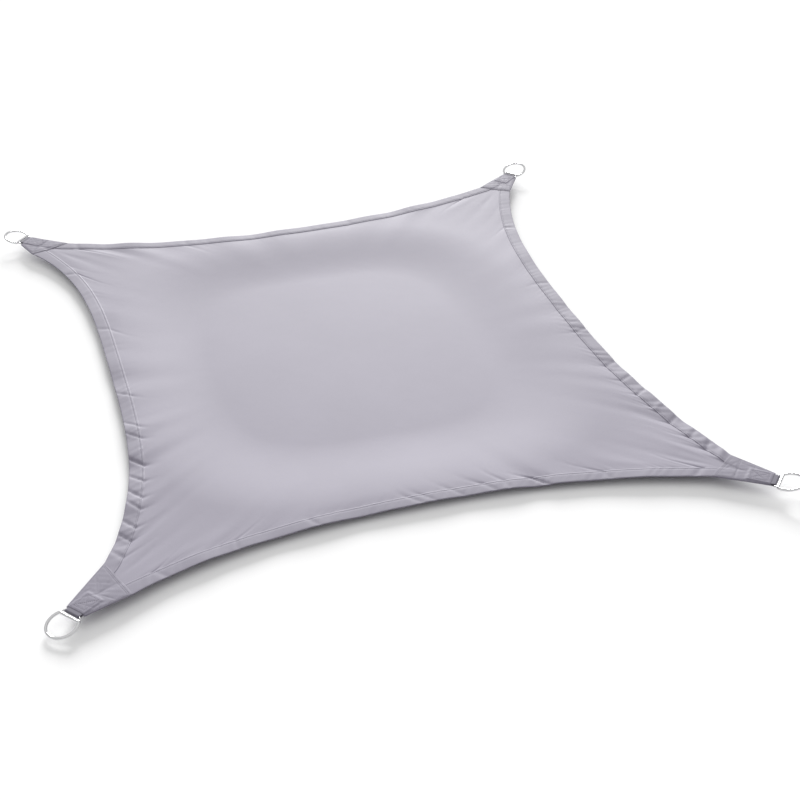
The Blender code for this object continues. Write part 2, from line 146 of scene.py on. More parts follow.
# Single creases: their place, height (trough where negative), half width, lean, and reach into the panel
Crease = namedtuple("Crease", "side at height half lean reach")
CREASES = (
    Crease("near", 0.09, -0.0010, 0.007, -0.4, 0.05),
    Crease("near", 0.21, -0.0012, 0.006, 0.3, 0.04),
    Crease("near", 0.33, -0.0011, 0.007, -0.5, 0.06),
    Crease("near", 0.49, -0.0014, 0.006, -0.8, 0.03),
    Crease("near", 0.51, -0.0013, 0.006, -0.8, 0.03),
    Crease("near", 0.557, -0.0012, 0.006, -0.7, 0.05),
    Crease("near", 0.608, -0.0016, 0.007, -0.7, 0.05),
    Crease("near", 0.635, -0.0014, 0.006, -0.2, 0.07),
    Crease("near", 0.687, -0.0034, 0.006, -1.0, 0.02),
    Crease("near", 0.79, -0.0012, 0.007, -0.5, 0.05),
    Crease("near", 0.93, -0.0014, 0.008, 0.4, 0.08),
    Crease("right", 0.045, 0.0034, 0.016, -0.6, 0.03),
    Crease("right", 0.072, -0.0034, 0.009, -0.8, 0.03),
    Crease("right", 0.105, -0.0022, 0.008, -0.6, 0.03),
    Crease("right", 0.150, -0.0022, 0.007, -0.6, 0.02),
    Crease("right", 0.188, 0.0018, 0.010, -0.5, 0.02),
    Crease("right", 0.232, -0.0022, 0.007, -0.5, 0.02),
    Crease("right", 0.275, -0.0019, 0.007, -0.4, 0.02),
    Crease("right", 0.322, -0.0016, 0.008, -0.4, 0.02),
    Crease("right", 0.430, -0.0012, 0.008, -0.2, 0.03),
    Crease("right", 0.600, -0.0010, 0.008, 0.2, 0.03),
    Crease("right", 0.820, -0.0012, 0.007, 0.3, 0.03),
    Crease("back", 0.10, -0.0012, 0.010, 0.4, 0.05),
    Crease("back", 0.37, -0.0009, 0.010, 0.0, 0.05),
    Crease("back", 0.71, -0.0009, 0.010, -0.2, 0.05),
    Crease("back", 0.93, -0.0014, 0.008, -0.4, 0.05),
    Crease("left", 0.12, -0.0012, 0.008, 0.3, 0.04),
    Crease("left", 0.33, -0.0010, 0.009, 0.4, 0.04),
    Crease("left", 0.54, -0.0014, 0.007, 0.6, 0.02),
    Crease("left", 0.625, -0.0018, 0.007, 0.8, 0.02),
    Crease("left", 0.655, -0.0018, 0.006, 0.8, 0.02),
    Crease("left", 0.720, -0.0030, 0.007, 0.9, 0.02),
    Crease("left", 0.760, -0.0024, 0.007, 0.8, 0.02),
    Crease("left", 0.797, -0.0028, 0.007, 0.9, 0.02),
    Crease("left", 0.822, -0.0024, 0.006, 0.9, 0.02),
    Crease("left", 0.862, -0.0026, 0.007, 0.8, 0.02),
    Crease("left", 0.890, -0.0022, 0.006, 0.7, 0.02),
    Crease("left", 0.925, -0.0018, 0.008, 0.6, 0.03),
)

# Tension folds that fan out of a corner into the panel: angle off its axis, height, width in degrees
Ray = namedtuple("Ray", "corner angle height width")
RAYS = (
    Ray("near_left", -9, 0.0012, 2.6),
    Ray("near_left", 4, -0.0010, 2.2),
    Ray("near_left", 13, 0.0010, 2.4),
    Ray("near_right", -12, 0.0012, 2.4),
    Ray("near_right", -2, -0.0012, 2.2),
    Ray("near_right", 9, 0.0014, 2.8),
    Ray("back_right", -7, 0.0010, 3.0),
    Ray("back_right", 8, -0.0009, 2.6),
    Ray("back_left", -10, -0.0009, 2.6),
    Ray("back_left", 3, 0.0011, 2.8),
)
RAY_START = 0.16
RAY_END = 0.55

SWELL = 0.0009             # height of the panel's faint unevenness
PANEL_CLOTH = 0.0014

# The hem from its folded edge to the inner edge of its turning: distance in, and height over the underside
Rib = namedtuple("Rib", "inward height")
HEM_TOP = (
    Rib(0.0002, 0.0021),
    Rib(0.0008, 0.0026),
    Rib(0.0016, 0.0028),
    Rib(0.0045, 0.0029),
    Rib(0.0095, 0.0030),
    Rib(0.0150, 0.0030),
    Rib(0.0210, 0.0030),
    Rib(0.0265, 0.0030),
    Rib(0.0310, 0.0029),
    Rib(0.0335, 0.0026),
    Rib(0.0350, 0.0022),
    Rib(0.0365, 0.0026),
    Rib(0.0385, 0.0027),
    Rib(0.0394, 0.0024),
)
HEM_UNDER = (
    Rib(0.0002, 0.0007),
    Rib(0.0008, 0.0002),
    Rib(0.0020, 0.0),
    Rib(0.0110, 0.0),
    Rib(0.0210, 0.0),
    Rib(0.0310, 0.0),
)
HEM_EDGE = 0.0014          # height of the middle of the folded edge
STITCH_INWARD = 0.0350

# Rings of finer cloth inside the seam, by their distance from it
RINGS_TOP = (0.003, 0.007, 0.012, 0.019, 0.028, 0.040, 0.055, 0.074)
RINGS_UNDER = (0.012, 0.035, 0.074)
WIDTH_SHARE = 1.42         # widths of the panel that turn those distances into shares of it
LENGTH_SHARE = 1.70
CELLS_X = 108              # cells of the panel inside the last ring
CELLS_Y = 124
FINE = 3                   # stations of the hem for each cell
TONGUE_STATIONS = 12


def smooth(value):
    """Ease from 0 to 1."""
    value = np.clip(value, 0.0, 1.0)
    return value * value * (3.0 - 2.0 * value)


# ---- Plan shape, as in the CAD part ----

def rotated(vector, degrees):
    angle = math.radians(degrees)
    cos_a, sin_a = math.cos(angle), math.sin(angle)
    return np.array((cos_a * vector[0] - sin_a * vector[1], sin_a * vector[0] + cos_a * vector[1]))


def bar_point(corner):
    return np.array((corner.x * SPAN_X / 2, corner.y * SPAN_Y / 2))


def corner_axes(corner):
    """Unit vectors inward along a corner's axis, and across it towards its next side."""
    inward = rotated(np.array((-corner.x, -corner.y)) * math.sqrt(0.5), corner.turn)
    return inward, np.array((inward[1], -inward[0]))


def corner_point(corner, along, across):
    inward, sideways = corner_axes(corner)
    return bar_point(corner) + np.multiply.outer(along, inward) + np.multiply.outer(across, sideways)


def edge_across(corner, along, which):
    if which == "next":
        return BAR_HALF + (corner.next_across - BAR_HALF) * along / corner.next_along
    return -(BAR_HALF + (corner.last_across - BAR_HALF) * along / corner.last_along)


def spine_point(corner, along):
    middle = (edge_across(corner, along, "next") + edge_across(corner, along, "last")) / 2
    return corner_point(corner, along, middle)


def side_outline(index, count):
    """Evenly spaced points of a side's outline between the two places where hems meet, and the distance."""
    side = SIDES[index]
    first, last = CORNERS[index], CORNERS[(index + 1) % 4]
    start = corner_point(first, first.next_along, first.next_across)
    end = corner_point(last, last.last_along, -last.last_across)
    chord = end - start
    inward = np.array((-chord[1], chord[0])) / np.linalg.norm(chord)
    share = np.linspace(0.0, 1.0, 400)
    warped = share ** (math.log(0.5) / math.log(side.deepest))
    depth = side.bow * (1.0 - np.abs(2.0 * warped - 1.0) ** side.fullness)
    curve = start + np.outer(share, chord) + np.outer(depth, inward)
    head = corner_point(first, MEET_ALONG, edge_across(first, MEET_ALONG, "next"))
    tail = corner_point(last, MEET_ALONG, edge_across(last, MEET_ALONG, "last"))
    path = np.vstack((head, curve, tail))
    travelled = np.concatenate(((0.0,), np.cumsum(np.linalg.norm(np.diff(path, axis=0), axis=1))))
    wanted = np.linspace(0.0, travelled[-1], count)
    points = np.column_stack([np.interp(wanted, travelled, path[:, axis]) for axis in (0, 1)])
    for _ in range(3):
        points[1:-1] = (points[:-2] + 2 * points[1:-1] + points[2:]) / 4
    return points, wanted


def side_seam(index, points, travelled):
    """The inner edge of a side's hem, which meets its neighbours on the tongues' middle lines."""
    tangent = np.gradient(points, travelled, axis=0)
    tangent /= np.linalg.norm(tangent, axis=1)[:, None]
    offset = np.column_stack((-tangent[:, 1], tangent[:, 0])) * HEM_WIDTH
    ends = ((CORNERS[index], 0, travelled), (CORNERS[(index + 1) % 4], -1, travelled[-1] - travelled))
    for corner, end, distance in ends:
        meet = spine_point(corner, MEET_ALONG) - points[end]
        share = (1.0 - smooth(distance / SEAM_TURN))[:, None]
        offset = offset * (1.0 - share) + meet * share
    return points + offset


def underside(points):
    """Height of the smooth underside at plan points."""
    points = np.atleast_2d(points)
    out = (np.abs(points[:, 0]) / LEVEL_X) ** LEVEL_POWER + (np.abs(points[:, 1]) / LEVEL_Y) ** LEVEL_POWER
    out = out ** (1.0 / LEVEL_POWER)
    edge = smooth((out - FLAT_SHARE) / (HEM_SHARE - FLAT_SHARE))
    nearest = np.min([np.linalg.norm(points - bar_point(c), axis=1) for c in CORNERS], axis=0)
    return EDGE_LIFT * edge + CORNER_LIFT * edge * smooth(1.0 - nearest / CORNER_REACH)


# ---- Relief ----

def side_relief(index, share, inward):
    """Rise of the cloth by share of the way along a side and distance in from its outline."""
    name = SIDES[index].name
    length = lengths[index]
    run = share * length
    broad = np.zeros_like(run)
    for height, wave in HEM_WAVES:
        broad += height * np.sin(2 * math.pi * run / wave)
    for fold in FOLDS:
        if fold.side == name:
            broad += fold.height * (1.0 - smooth(np.abs(share - fold.at) * length / fold.half))
    past = np.clip((inward - HEM_WIDTH) / 0.33, 0.0, 1.0)
    broad *= (1.0 - 0.4 * np.clip(inward / HEM_WIDTH, 0.0, 1.0)) * (1.0 - past) ** 3
    fine = np.zeros_like(run)
    for row in GATHERS:
        if row.side == name:
            place = run + row.lean * inward
            slow = 2 * math.pi * place / (5.3 * row.pitch) + 31 * row.pitch
            beat = place / row.pitch + 0.42 * np.sin(slow)
            beat += 0.23 * np.sin(2 * math.pi * place / (2.7 * row.pitch))
            strength = 0.7 + 0.3 * np.sin(2 * math.pi * place / (4.1 * row.pitch) + 2.0)
            window = smooth((share - row.start) * length / 0.08) * smooth((row.end - share) * length / 0.08)
            fine += row.height * (np.abs(np.sin(math.pi * beat)) - 0.6) * strength * window
    fine *= np.interp(inward, (0.0, 0.008, 0.030, 0.045, 0.075, 0.13), (0.35, 0.8, 1.1, 0.5, 0.2, 0.0))
    for row in CREASES:
        if row.side == name:
            away = (run - row.at * length - row.lean * (inward - 0.02)) / row.half
            fade = np.exp(-np.clip(inward - HEM_WIDTH, 0.0, None) / row.reach)
            fade = fade * np.interp(inward, (0.0, 0.008), (0.45, 1.0))
            fine += row.height * np.exp(-away * away) * fade
    clear = np.minimum(share, 1.0 - share) * length
    return broad * smooth((clear - PATCH_REACH) / FOLD_EASE) + fine * smooth((clear - 0.055) / 0.04)


def panel_relief(u, v, points):
    """Rise of the panel inside its seam, by its shares across and along and its plan points."""
    rise = np.zeros_like(u)
    distances = (v * LENGTH_SHARE, (1 - u) * WIDTH_SHARE, (1 - v) * LENGTH_SHARE, u * WIDTH_SHARE)
    places = (u, v, 1 - u, 1 - v)
    spans = (WIDTH_SHARE, LENGTH_SHARE, WIDTH_SHARE, LENGTH_SHARE)
    for index in range(4):
        inset = distances[index] / spans[index]
        share = (places[index] - inset) / np.maximum(1.0 - 2.0 * inset, 0.1)
        near = (distances[index] < 0.4) & (share > 0.0) & (share < 1.0)
        found = side_relief(index, np.clip(share, 0.0, 1.0), HEM_WIDTH + distances[index])
        rise += np.where(near, found, 0.0)
    inside = smooth(np.min(distances, axis=0) / 0.05)
    for ray in RAYS:
        corner = next(c for c in CORNERS if c.name == ray.corner)
        way = points - bar_point(corner)
        axis = corner_axes(corner)[0]
        reach = np.linalg.norm(way, axis=1)
        turn = np.degrees(np.arctan2(axis[0] * way[:, 1] - axis[1] * way[:, 0], way @ axis))
        span = smooth((reach - RAY_START) / 0.08) * (1.0 - smooth((reach - 0.30) / (RAY_END - 0.30)))
        rise += ray.height * np.exp(-(((turn - ray.angle) / ray.width) ** 2)) * span * inside
    x, y = points[:, 0], points[:, 1]
    swell = np.sin(3.1 * x + 1.7 * y + 0.4) * np.sin(2.3 * y - 1.9 * x + 1.1)
    swell += 0.5 * np.sin(6.7 * x - 2.9 * y) * np.sin(5.3 * y + 2.2 * x + 0.7)
    return rise + SWELL * np.clip(swell, 0.0, None) * inside


class Build:
    """Vertices and faces of one mesh, gathered before it is made."""

    def __init__(self):
        self.points = []
        self.faces = []
        self.marks = []
        self.count = 0

    def add(self, points):
        points = np.asarray(points, float).reshape(-1, 3)
        self.points.append(points)
        ids = list(range(self.count, self.count + len(points)))
        self.count += len(points)
        return ids

    def face(self, ids, mark=0, flip=False):
        self.faces.append(tuple(reversed(ids)) if flip else tuple(ids))
        self.marks.append(mark)

    def strip(self, outer, inner, mark=0, flip=False, closed=False):
        count = len(outer) if closed else len(outer) - 1
        for step in range(count):
            after = (step + 1) % len(outer)
            ids = []
            for found in (outer[step], outer[after], inner[after], inner[step]):
                if found not in ids:
                    ids.append(found)
            if len(ids) > 2:
                self.face(ids, mark, flip)

    def array(self):
        return np.vstack(self.points)

    def make(self, name, surfaces, sharp=55):
        data = bpy.data.meshes.new(name)
        data.from_pydata((self.array() + SHIFT).tolist(), [], self.faces)
        for surface in surfaces:
            data.materials.append(surface)
        data.polygons.foreach_set("material_index", self.marks)
        data.validate()
        data.shade_smooth()
        data.set_sharp_from_angle(angle=math.radians(sharp))
        made = bpy.data.objects.new(name, data)
        bpy.context.scene.collection.objects.link(made)
        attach(made, "root")
        return made


# ---- Outline, seam and their place in the frame ----

counts = [cells * FINE + 1 for cells in (CELLS_X, CELLS_Y, CELLS_X, CELLS_Y)]
outlines, travels, seams, lengths = [], [], [], []
for index in range(4):
    outline, travelled = side_outline(index, counts[index])
    outlines.append(outline)
    travels.append(travelled)
    lengths.append(travelled[-1])
    seams.append(side_seam(index, outline, travelled))

tongue_alongs = np.linspace(TIP_ALONG, MEET_ALONG, TONGUE_STATIONS + 1)[:-1]
tips = [corner_point(c, TIP_ALONG, edge_across(c, TIP_ALONG, w)) for c in CORNERS for w in ("next", "last")]
reach = np.vstack(outlines + [np.array(tips)])
box_low, box_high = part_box("sail_panel")
SHIFT = np.array([
    (box_low[axis] + box_high[axis]) / 2 - (reach[:, axis].min() + reach[:, axis].max()) / 2 for axis in (0, 1)
] + [0.0])


def along_seam(index, share):
    places = np.linspace(0.0, 1.0, counts[index])
    return np.column_stack([np.interp(share, places, seams[index][:, axis]) for axis in (0, 1)])


def inside_seam(u, v):
    """Plan points inside the seam, blended from its four sides."""
    near, back = along_seam(0, u), along_seam(2, 1 - u)
    right, left = along_seam(1, v), along_seam(3, 1 - v)
    u, v = u[:, None], v[:, None]
    corners = (1 - u) * (1 - v) * seams[0][0] + u * (1 - v) * seams[1][0]
    corners = corners + u * v * seams[2][0] + (1 - u) * v * seams[3][0]
    return (1 - v) * near + v * back + (1 - u) * left + u * right - corners


def ring_shares(distance):
    """Shares across and along of a closed ring of stations at a distance inside the seam."""
    a, b = distance / WIDTH_SHARE, distance / LENGTH_SHARE
    us, vs = [], []
    for index, count in enumerate(counts):
        t = np.linspace(0.0, 1.0, count)[:-1]
        run_u, run_v = a + t * (1 - 2 * a), b + t * (1 - 2 * b)
        edge_u, edge_v = np.full_like(t, a), np.full_like(t, b)
        us.append((run_u, 1 - edge_u, 1 - run_u, edge_u)[index])
        vs.append((edge_v, run_v, 1 - edge_v, 1 - run_v)[index])
    return np.concatenate(us), np.concatenate(vs)


def panel_points(u, v, lift):
    plan = inside_seam(u, v)
    height = np.maximum(underside(plan) + panel_relief(u, v, plan), 0.0) + lift
    return np.column_stack((plan, height))


def hem_line(index, inward, lift):
    """Points of a side's hem, its tongues included, at a distance in and a height over the underside."""
    first, last = CORNERS[index], CORNERS[(index + 1) % 4]
    heads = corner_tongue(first, "next", inward)
    tails = corner_tongue(last, "last", inward)[::-1]
    middle = outlines[index] + (seams[index] - outlines[index]) * (inward / HEM_WIDTH)
    share = travels[index] / lengths[index]
    rise = side_relief(index, share, np.full_like(share, inward))
    plan = np.vstack((heads, middle, tails))
    rise = np.concatenate((np.zeros(len(heads)), rise, np.zeros(len(tails))))
    return np.column_stack((plan, underside(plan) + rise + lift))


def corner_tongue(corner, which, inward):
    outer = np.array([corner_point(corner, a, edge_across(corner, a, which)) for a in tongue_alongs])
    spine = np.array([spine_point(corner, a) for a in tongue_alongs])
    return outer + (spine - outer) * (inward / HEM_WIDTH)


def sail_cloth():
    """The panel with its turned hem, one closed sheet."""
    build = Build()
    starts = np.concatenate(([0], np.cumsum([count - 1 for count in counts])))
    edges = [build.add(hem_line(index, 0.0, HEM_EDGE)) for index in range(4)]
    tip_rows = {}
    for top in (True, False):
        lift = PANEL_CLOTH if top else 0.0
        flip = not top
        spines = []
        for corner in CORNERS:
            plan = np.array([spine_point(corner, a) for a in tongue_alongs])
            spines.append(build.add(np.column_stack((plan, underside(plan) + lift))))
        u, v = ring_shares(0.0)
        ring = build.add(panel_points(u, v, lift))
        tips_here = []
        for index in range(4):
            rows = [edges[index]]
            for rib in HEM_TOP if top else HEM_UNDER:
                rows.append(build.add(hem_line(index, rib.inward, rib.height)))
            span = [ring[k % len(ring)] for k in range(starts[index], starts[index + 1] + 1)]
            rows.append(spines[index] + span + spines[(index + 1) % 4][::-1])
            for outer, inner in zip(rows, rows[1:]):
                build.strip(outer, inner, 1, flip)
            tips_here.append(([row[0] for row in rows], [row[-1] for row in rows]))
        tip_rows[top] = tips_here
        for distance in RINGS_TOP if top else RINGS_UNDER:
            u, v = ring_shares(distance)
            inner = build.add(panel_points(u, v, lift))
            build.strip(ring, inner, 0, flip, closed=True)
            ring = inner
        last = (RINGS_TOP if top else RINGS_UNDER)[-1]
        fill_grid(build, ring, starts, last, lift, flip)
    for index in range(4):
        for end in (0, 1):
            upper, lower = tip_rows[True][index][end], tip_rows[False][index][end]
            build.face(upper + lower[:0:-1], 1, flip=end == 0)
    return build


def fill_grid(build, ring, starts, distance, lift, flip):
    """The panel inside its last ring, with the ring's finer stations taken into the outer cells."""
    a, b = distance / WIDTH_SHARE, distance / LENGTH_SHARE
    u = np.linspace(a, 1 - a, CELLS_X + 1)[1:-1]
    v = np.linspace(b, 1 - b, CELLS_Y + 1)[1:-1]
    uu, vv = np.meshgrid(u, v)
    inner = np.array(build.add(panel_points(uu.ravel(), vv.ravel(), lift))).reshape(len(v), len(u))
    size = len(ring)
    near = [ring[starts[0] + k] for k in range(CELLS_X * FINE + 1)]
    right = [ring[starts[1] + k] for k in range(CELLS_Y * FINE + 1)]
    back = [ring[starts[2] + k] for k in range(CELLS_X * FINE + 1)]
    left = [ring[(starts[3] + k) % size] for k in range(CELLS_Y * FINE + 1)]
    grid = np.zeros((CELLS_Y + 1, CELLS_X + 1), int)
    grid[1:-1, 1:-1] = inner
    grid[0, :] = near[::FINE]
    grid[:, -1] = right[::FINE]
    grid[-1, :] = back[::-1][::FINE]
    grid[:, 0] = left[::-1][::FINE]
    grid = grid.tolist()
    for row in range(CELLS_Y):
        for column in range(CELLS_X):
            ids = [grid[row][column]]
            if row == 0:
                ids += near[column * FINE + 1:column * FINE + FINE]
            ids.append(grid[row][column + 1])
            if column == CELLS_X - 1:
                ids += right[row * FINE + 1:row * FINE + FINE]
            ids.append(grid[row + 1][column + 1])
            if row == CELLS_Y - 1:
                step = (CELLS_X - 1 - column) * FINE
                ids += back[step + 1:step + FINE]
            ids.append(grid[row + 1][column])
            if column == 0:
                step = (CELLS_Y - 1 - row) * FINE
                ids += left[step + 1:step + FINE]
            build.face(ids, 0, flip)


# ---- Corner patches ----

PATCH_ROWS = 56
PATCH_COLUMNS = 44
PATCH_SHEET = 0.0009
PUFF = 0.0008              # how far the patch stands up between its creases

# Creases on a patch: from and to, each along and across the corner's axis, with depth share and half width
Line = namedtuple("Line", "corner along across to_along to_across depth half")
PATCH_LINES = (
    Line("near_left", 0.050, -0.030, 0.115, 0.012, 0.9, 0.0028),
    Line("near_left", 0.062, 0.030, 0.128, -0.030, 0.8, 0.0026),
    Line("near_left", 0.085, -0.004, 0.150, 0.004, 1.0, 0.0030),
    Line("near_left", 0.095, 0.006, 0.104, 0.048, 0.8, 0.0024),
    Line("near_left", 0.100, -0.010, 0.134, -0.048, 0.7, 0.0026),
    Line("near_left", 0.040, -0.022, 0.050, 0.026, 0.7, 0.0022),
    Line("near_left", 0.112, -0.052, 0.140, -0.010, 0.6, 0.0024),
    Line("near_left", 0.070, -0.034, 0.098, -0.030, 0.6, 0.0022),
    Line("near_right", 0.113, -0.030, 0.122, 0.052, 1.0, 0.0026),
    Line("near_right", 0.070, -0.028, 0.076, 0.036, 0.8, 0.0022),
    Line("near_right", 0.120, 0.000, 0.150, 0.034, 0.7, 0.0026),
    Line("near_right", 0.126, 0.044, 0.150, -0.010, 0.7, 0.0026),
    Line("near_right", 0.032, 0.026, 0.112, 0.040, 0.6, 0.0018),
    Line("back_right", 0.052, -0.026, 0.060, 0.026, 0.7, 0.0026),
    Line("back_right", 0.080, 0.028, 0.118, -0.020, 0.6, 0.0028),
    Line("back_right", 0.090, -0.030, 0.126, 0.026, 0.5, 0.0026),
    Line("back_left", 0.040, -0.024, 0.078, 0.024, 0.8, 0.0024),
    Line("back_left", 0.042, 0.028, 0.080, -0.026, 0.8, 0.0024),
    Line("back_left", 0.086, 0.052, 0.112, -0.006, 0.5, 0.0028),
)
BOX_ALONG = (0.032, 0.079)  # box and cross stitching over the webbing
BOX_HALF = 0.0185
CROSS_SEAMS = {"near_left": (), "near_right": (0.118,), "back_right": (0.100,), "back_left": (0.092,)}


def box_lines():
    """The stitched box and its cross, as pairs of places along and across the corner's axis."""
    low, high = BOX_ALONG
    corners = ((low, -BOX_HALF), (high, -BOX_HALF), (high, BOX_HALF), (low, BOX_HALF))
    sides = [(corners[k], corners[(k + 1) % 4]) for k in range(4)]
    return sides + [(corners[0], corners[2]), (corners[1], corners[3])]


def seam_lines(corner):
    """Stitched lines of a patch: its edges, its inner seam twice, its cross seams, and the box."""
    lines = []
    inset = 0.0045
    for which in ("next", "last"):
        end = corner.next_along if which == "next" else corner.last_along
        sign = -1 if which == "next" else 1
        ends = (PATCH_START + 0.004, end - 0.006)
        lines.append(tuple((a, edge_across(corner, a, which) + sign * inset) for a in ends))
    for back in (0.004, 0.009):
        start = (corner.last_along - back, edge_across(corner, corner.last_along - back, "last") + inset)
        end = (corner.next_along - back, edge_across(corner, corner.next_along - back, "next") - inset)
        lines.append((start, end))
    for along in CROSS_SEAMS[corner.name]:
        start = (along, edge_across(corner, along, "last") + inset)
        end = (along, edge_across(corner, along, "next") - inset)
        lines.append((start, end))
    return lines + box_lines()


def from_line(places, start, end):
    """Distance of places from a straight line between two places."""
    start, end = np.array(start), np.array(end)
    way = end - start
    share = np.clip(((places - start) @ way) / (way @ way), 0.0, 1.0)
    return np.linalg.norm(places - start - share[:, None] * way, axis=1)


def spread(grid):
    """Largest of each value and its eight neighbours."""
    padded = np.pad(grid, 1, mode="edge")
    rows, columns = grid.shape
    views = [padded[r:r + rows, c:c + columns] for r in range(3) for c in range(3)]
    return np.max(views, axis=0)


def softened(grid):
    padded = np.pad(grid, 1, mode="edge")
    rows, columns = grid.shape
    total = np.zeros_like(grid)
    for r, row_weight in enumerate((1, 2, 1)):
        for c, weight in enumerate((1, 2, 1)):
            total += row_weight * weight * padded[r:r + rows, c:c + columns]
    return total / 16


def patch(corner, tree):
    """One corner's cloth patch: places, the height of its top over them, and its mesh."""
    share_r, share_c = np.meshgrid(
        np.linspace(0, 1, PATCH_ROWS + 1), np.linspace(0, 1, PATCH_COLUMNS + 1), indexing="ij"
    )
    ends = corner.last_along + (corner.next_along - corner.last_along) * share_c
    along = PATCH_START + share_r * (ends - PATCH_START)
    low = edge_across(corner, along, "last") + PATCH_INSET
    high = edge_across(corner, along, "next") - PATCH_INSET
    across = low + share_c * (high - low)
    places = np.column_stack((along.ravel(), across.ravel()))
    plan = corner_point(corner, places[:, 0], places[:, 1])
    cover = []
    for spot in plan:
        hit = tree.ray_cast(Vector((spot[0], spot[1], 1.0)), Vector((0, 0, -1)))[0]
        cover.append(hit.z if hit else underside(spot)[0] + HEM_CLOTH)
    cover = np.array(cover)
    leg = (places[:, 0] <= WEB_END + 0.001) & (np.abs(places[:, 1]) <= WEB_HALF + 0.001)
    spine = underside(spine_point(corner, places[:, 0])) + HEM_CLOTH + GAP + WEB_CLOTH
    cover = np.where(leg, np.maximum(cover, spine), cover).reshape(share_r.shape)
    cover = softened(softened(spread(cover)))
    crease = np.zeros(len(places))
    for line in PATCH_LINES:
        if line.corner == corner.name:
            away = from_line(places, (line.along, line.across), (line.to_along, line.to_across))
            crease = np.maximum(crease, line.depth * np.exp(-((away / line.half) ** 2)))
    for start, end in seam_lines(corner):
        away = from_line(places, start, end)
        crease = np.maximum(crease, 0.85 * np.exp(-((away / 0.0022) ** 2)))
    wander = np.sin(places[:, 0] * 210 + places[:, 1] * 90)
    wander = wander * np.sin(places[:, 1] * 260 - places[:, 0] * 70 + 1)
    puff = PUFF * (0.8 + 0.25 * wander) * (1.0 - crease)
    edge = np.minimum.reduce((share_r * PATCH_ROWS, (1 - share_r) * PATCH_ROWS))
    edge = np.minimum(edge, np.minimum(share_c, 1 - share_c) * PATCH_COLUMNS).ravel()
    puff *= smooth(edge / 3.0)
    low_z = cover.ravel() + GAP / 2 + puff
    top = low_z + np.where(edge < 0.5, PATCH_SHEET * 0.6, PATCH_SHEET)
    build = Build()
    grids = []
    for heights, flip in ((top, False), (low_z, True)):
        ids = np.array(build.add(np.column_stack((plan, heights)))).reshape(share_r.shape).tolist()
        for row in range(PATCH_ROWS):
            build.strip(ids[row], ids[row + 1], 0, flip)
        ring = ids[0] + [r[-1] for r in ids[1:]] + ids[-1][-2::-1] + [r[0] for r in ids[-2:0:-1]]
        grids.append(ring)
    build.strip(grids[1], grids[0], 0, False, closed=True)
    return build


# ---- Webbing and rings ----

WEB_STEPS = 16
WEB_TURNS = 18


def webbing(corner):
    """Flat webbing round the ring's rail, with one leg under the tongue and one on it."""
    inward, sideways = corner_axes(corner)
    middle = HEM_CLOTH / 2 + GAP + WEB_CLOTH / 2
    rail = underside(bar_point(corner))[0] + HEM_CLOTH / 2
    legs = np.linspace(WEB_END, WEB_START, WEB_STEPS)
    centre = underside(spine_point(corner, legs)) + HEM_CLOTH / 2
    upper = list(zip(legs, centre + middle))
    lower = list(zip(legs, centre - middle))[::-1]
    radius = RAIL_WIRE + GAP + WEB_CLOTH / 2
    turn = []
    for step in range(WEB_TURNS + 1):
        angle = math.pi / 2 + math.pi * step / WEB_TURNS
        turn.append((SLOT_PITCH + radius * math.cos(angle), rail + radius * math.sin(angle)))
    path = np.array(upper + turn + lower)
    tangent = np.gradient(path, axis=0)
    tangent /= np.linalg.norm(tangent, axis=1)[:, None]
    normal = np.column_stack((tangent[:, 1], -tangent[:, 0]))
    half = WEB_CLOTH / 2
    across = np.linspace(-WEB_HALF, WEB_HALF, 17)
    thin = half * np.where(np.abs(across) > WEB_HALF - 0.0008, 0.45, 1.0)
    section = list(zip(across, thin)) + list(zip(across[::-1], -thin[::-1]))
    build = Build()
    loops = []
    for place, out in zip(path, normal):
        ring = []
        for side, lift in section:
            along, height = place + out * lift
            spot = bar_point(corner) + inward * along + sideways * side
            ring.append((spot[0], spot[1], height))
        loops.append(build.add(ring))
    for first, second in zip(loops, loops[1:]):
        build.strip(first, second, 0, False, closed=True)
    build.face(loops[0], 0, False)
    build.face(loops[-1], 0, True)
    return build


def tube(build, path, radius, sides, closed, place):
    """Round tube along a flat path in the ring's own plane."""
    loops = []
    count = len(path)
    for step, here in enumerate(path):
        before = path[step - 1] if closed or step else path[step]
        after = path[(step + 1) % count] if closed or step < count - 1 else path[step]
        tangent = (after - before).normalized()
        normal = Vector((-tangent.y, tangent.x, 0.0))
        ring = []
        for side in range(sides):
            angle = 2 * math.pi * side / sides
            spot = here + normal * (radius * math.cos(angle))
            spot.z += radius * math.sin(angle)
            ring.append(place @ spot)
        loops.append(build.add(ring))
    for step in range(count if closed else count - 1):
        build.strip(loops[step], loops[(step + 1) % count], 0, True, closed=True)
    if not closed:
        build.face(loops[0], 0, False)
        build.face(loops[-1], 0, True)


